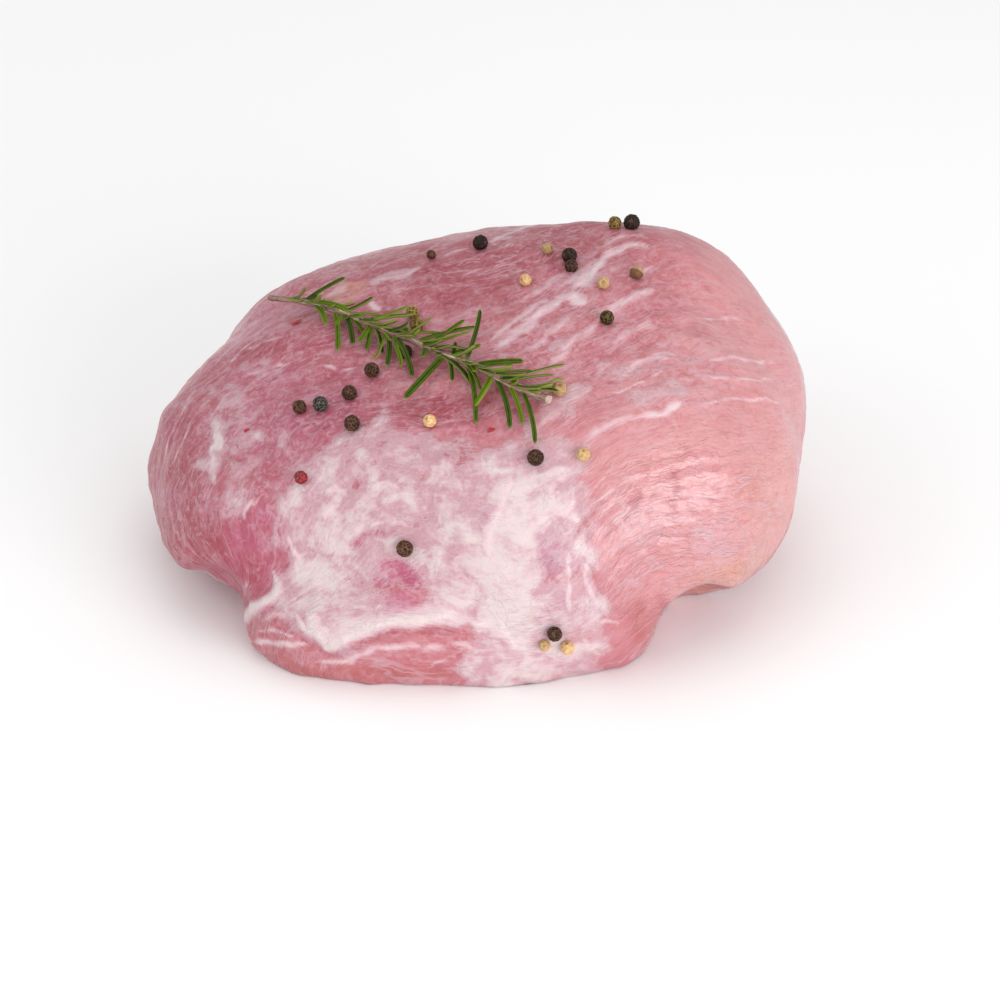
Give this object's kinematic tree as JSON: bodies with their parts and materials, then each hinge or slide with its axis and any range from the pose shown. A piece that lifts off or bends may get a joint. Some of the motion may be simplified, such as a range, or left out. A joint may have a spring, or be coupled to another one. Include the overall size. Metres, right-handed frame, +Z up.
{
  "type": "raw pork leg joint",
  "caption": "Raw boneless pork leg joint with lobed muscles and a pale fat cover, topped with a rosemary sprig and scattered peppercorns.",
  "frame": {"origin": "on the flat underside that the meat rests on, near the middle of the joint", "axes": "+X to the right along the joint, from its thin end to its thick lobe, +Y to its back, +Z up"},
  "size_m": [0.2194, 0.1746, 0.1034],
  "materials": {
    "pork_leg": "moist, satin",
    "rosemary_sprig": "satin"
  },
  "bodies": {
    "root": {"pork_leg": "pork_leg", "rosemary_sprig": "rosemary_sprig"}
  },
  "joints": []
}
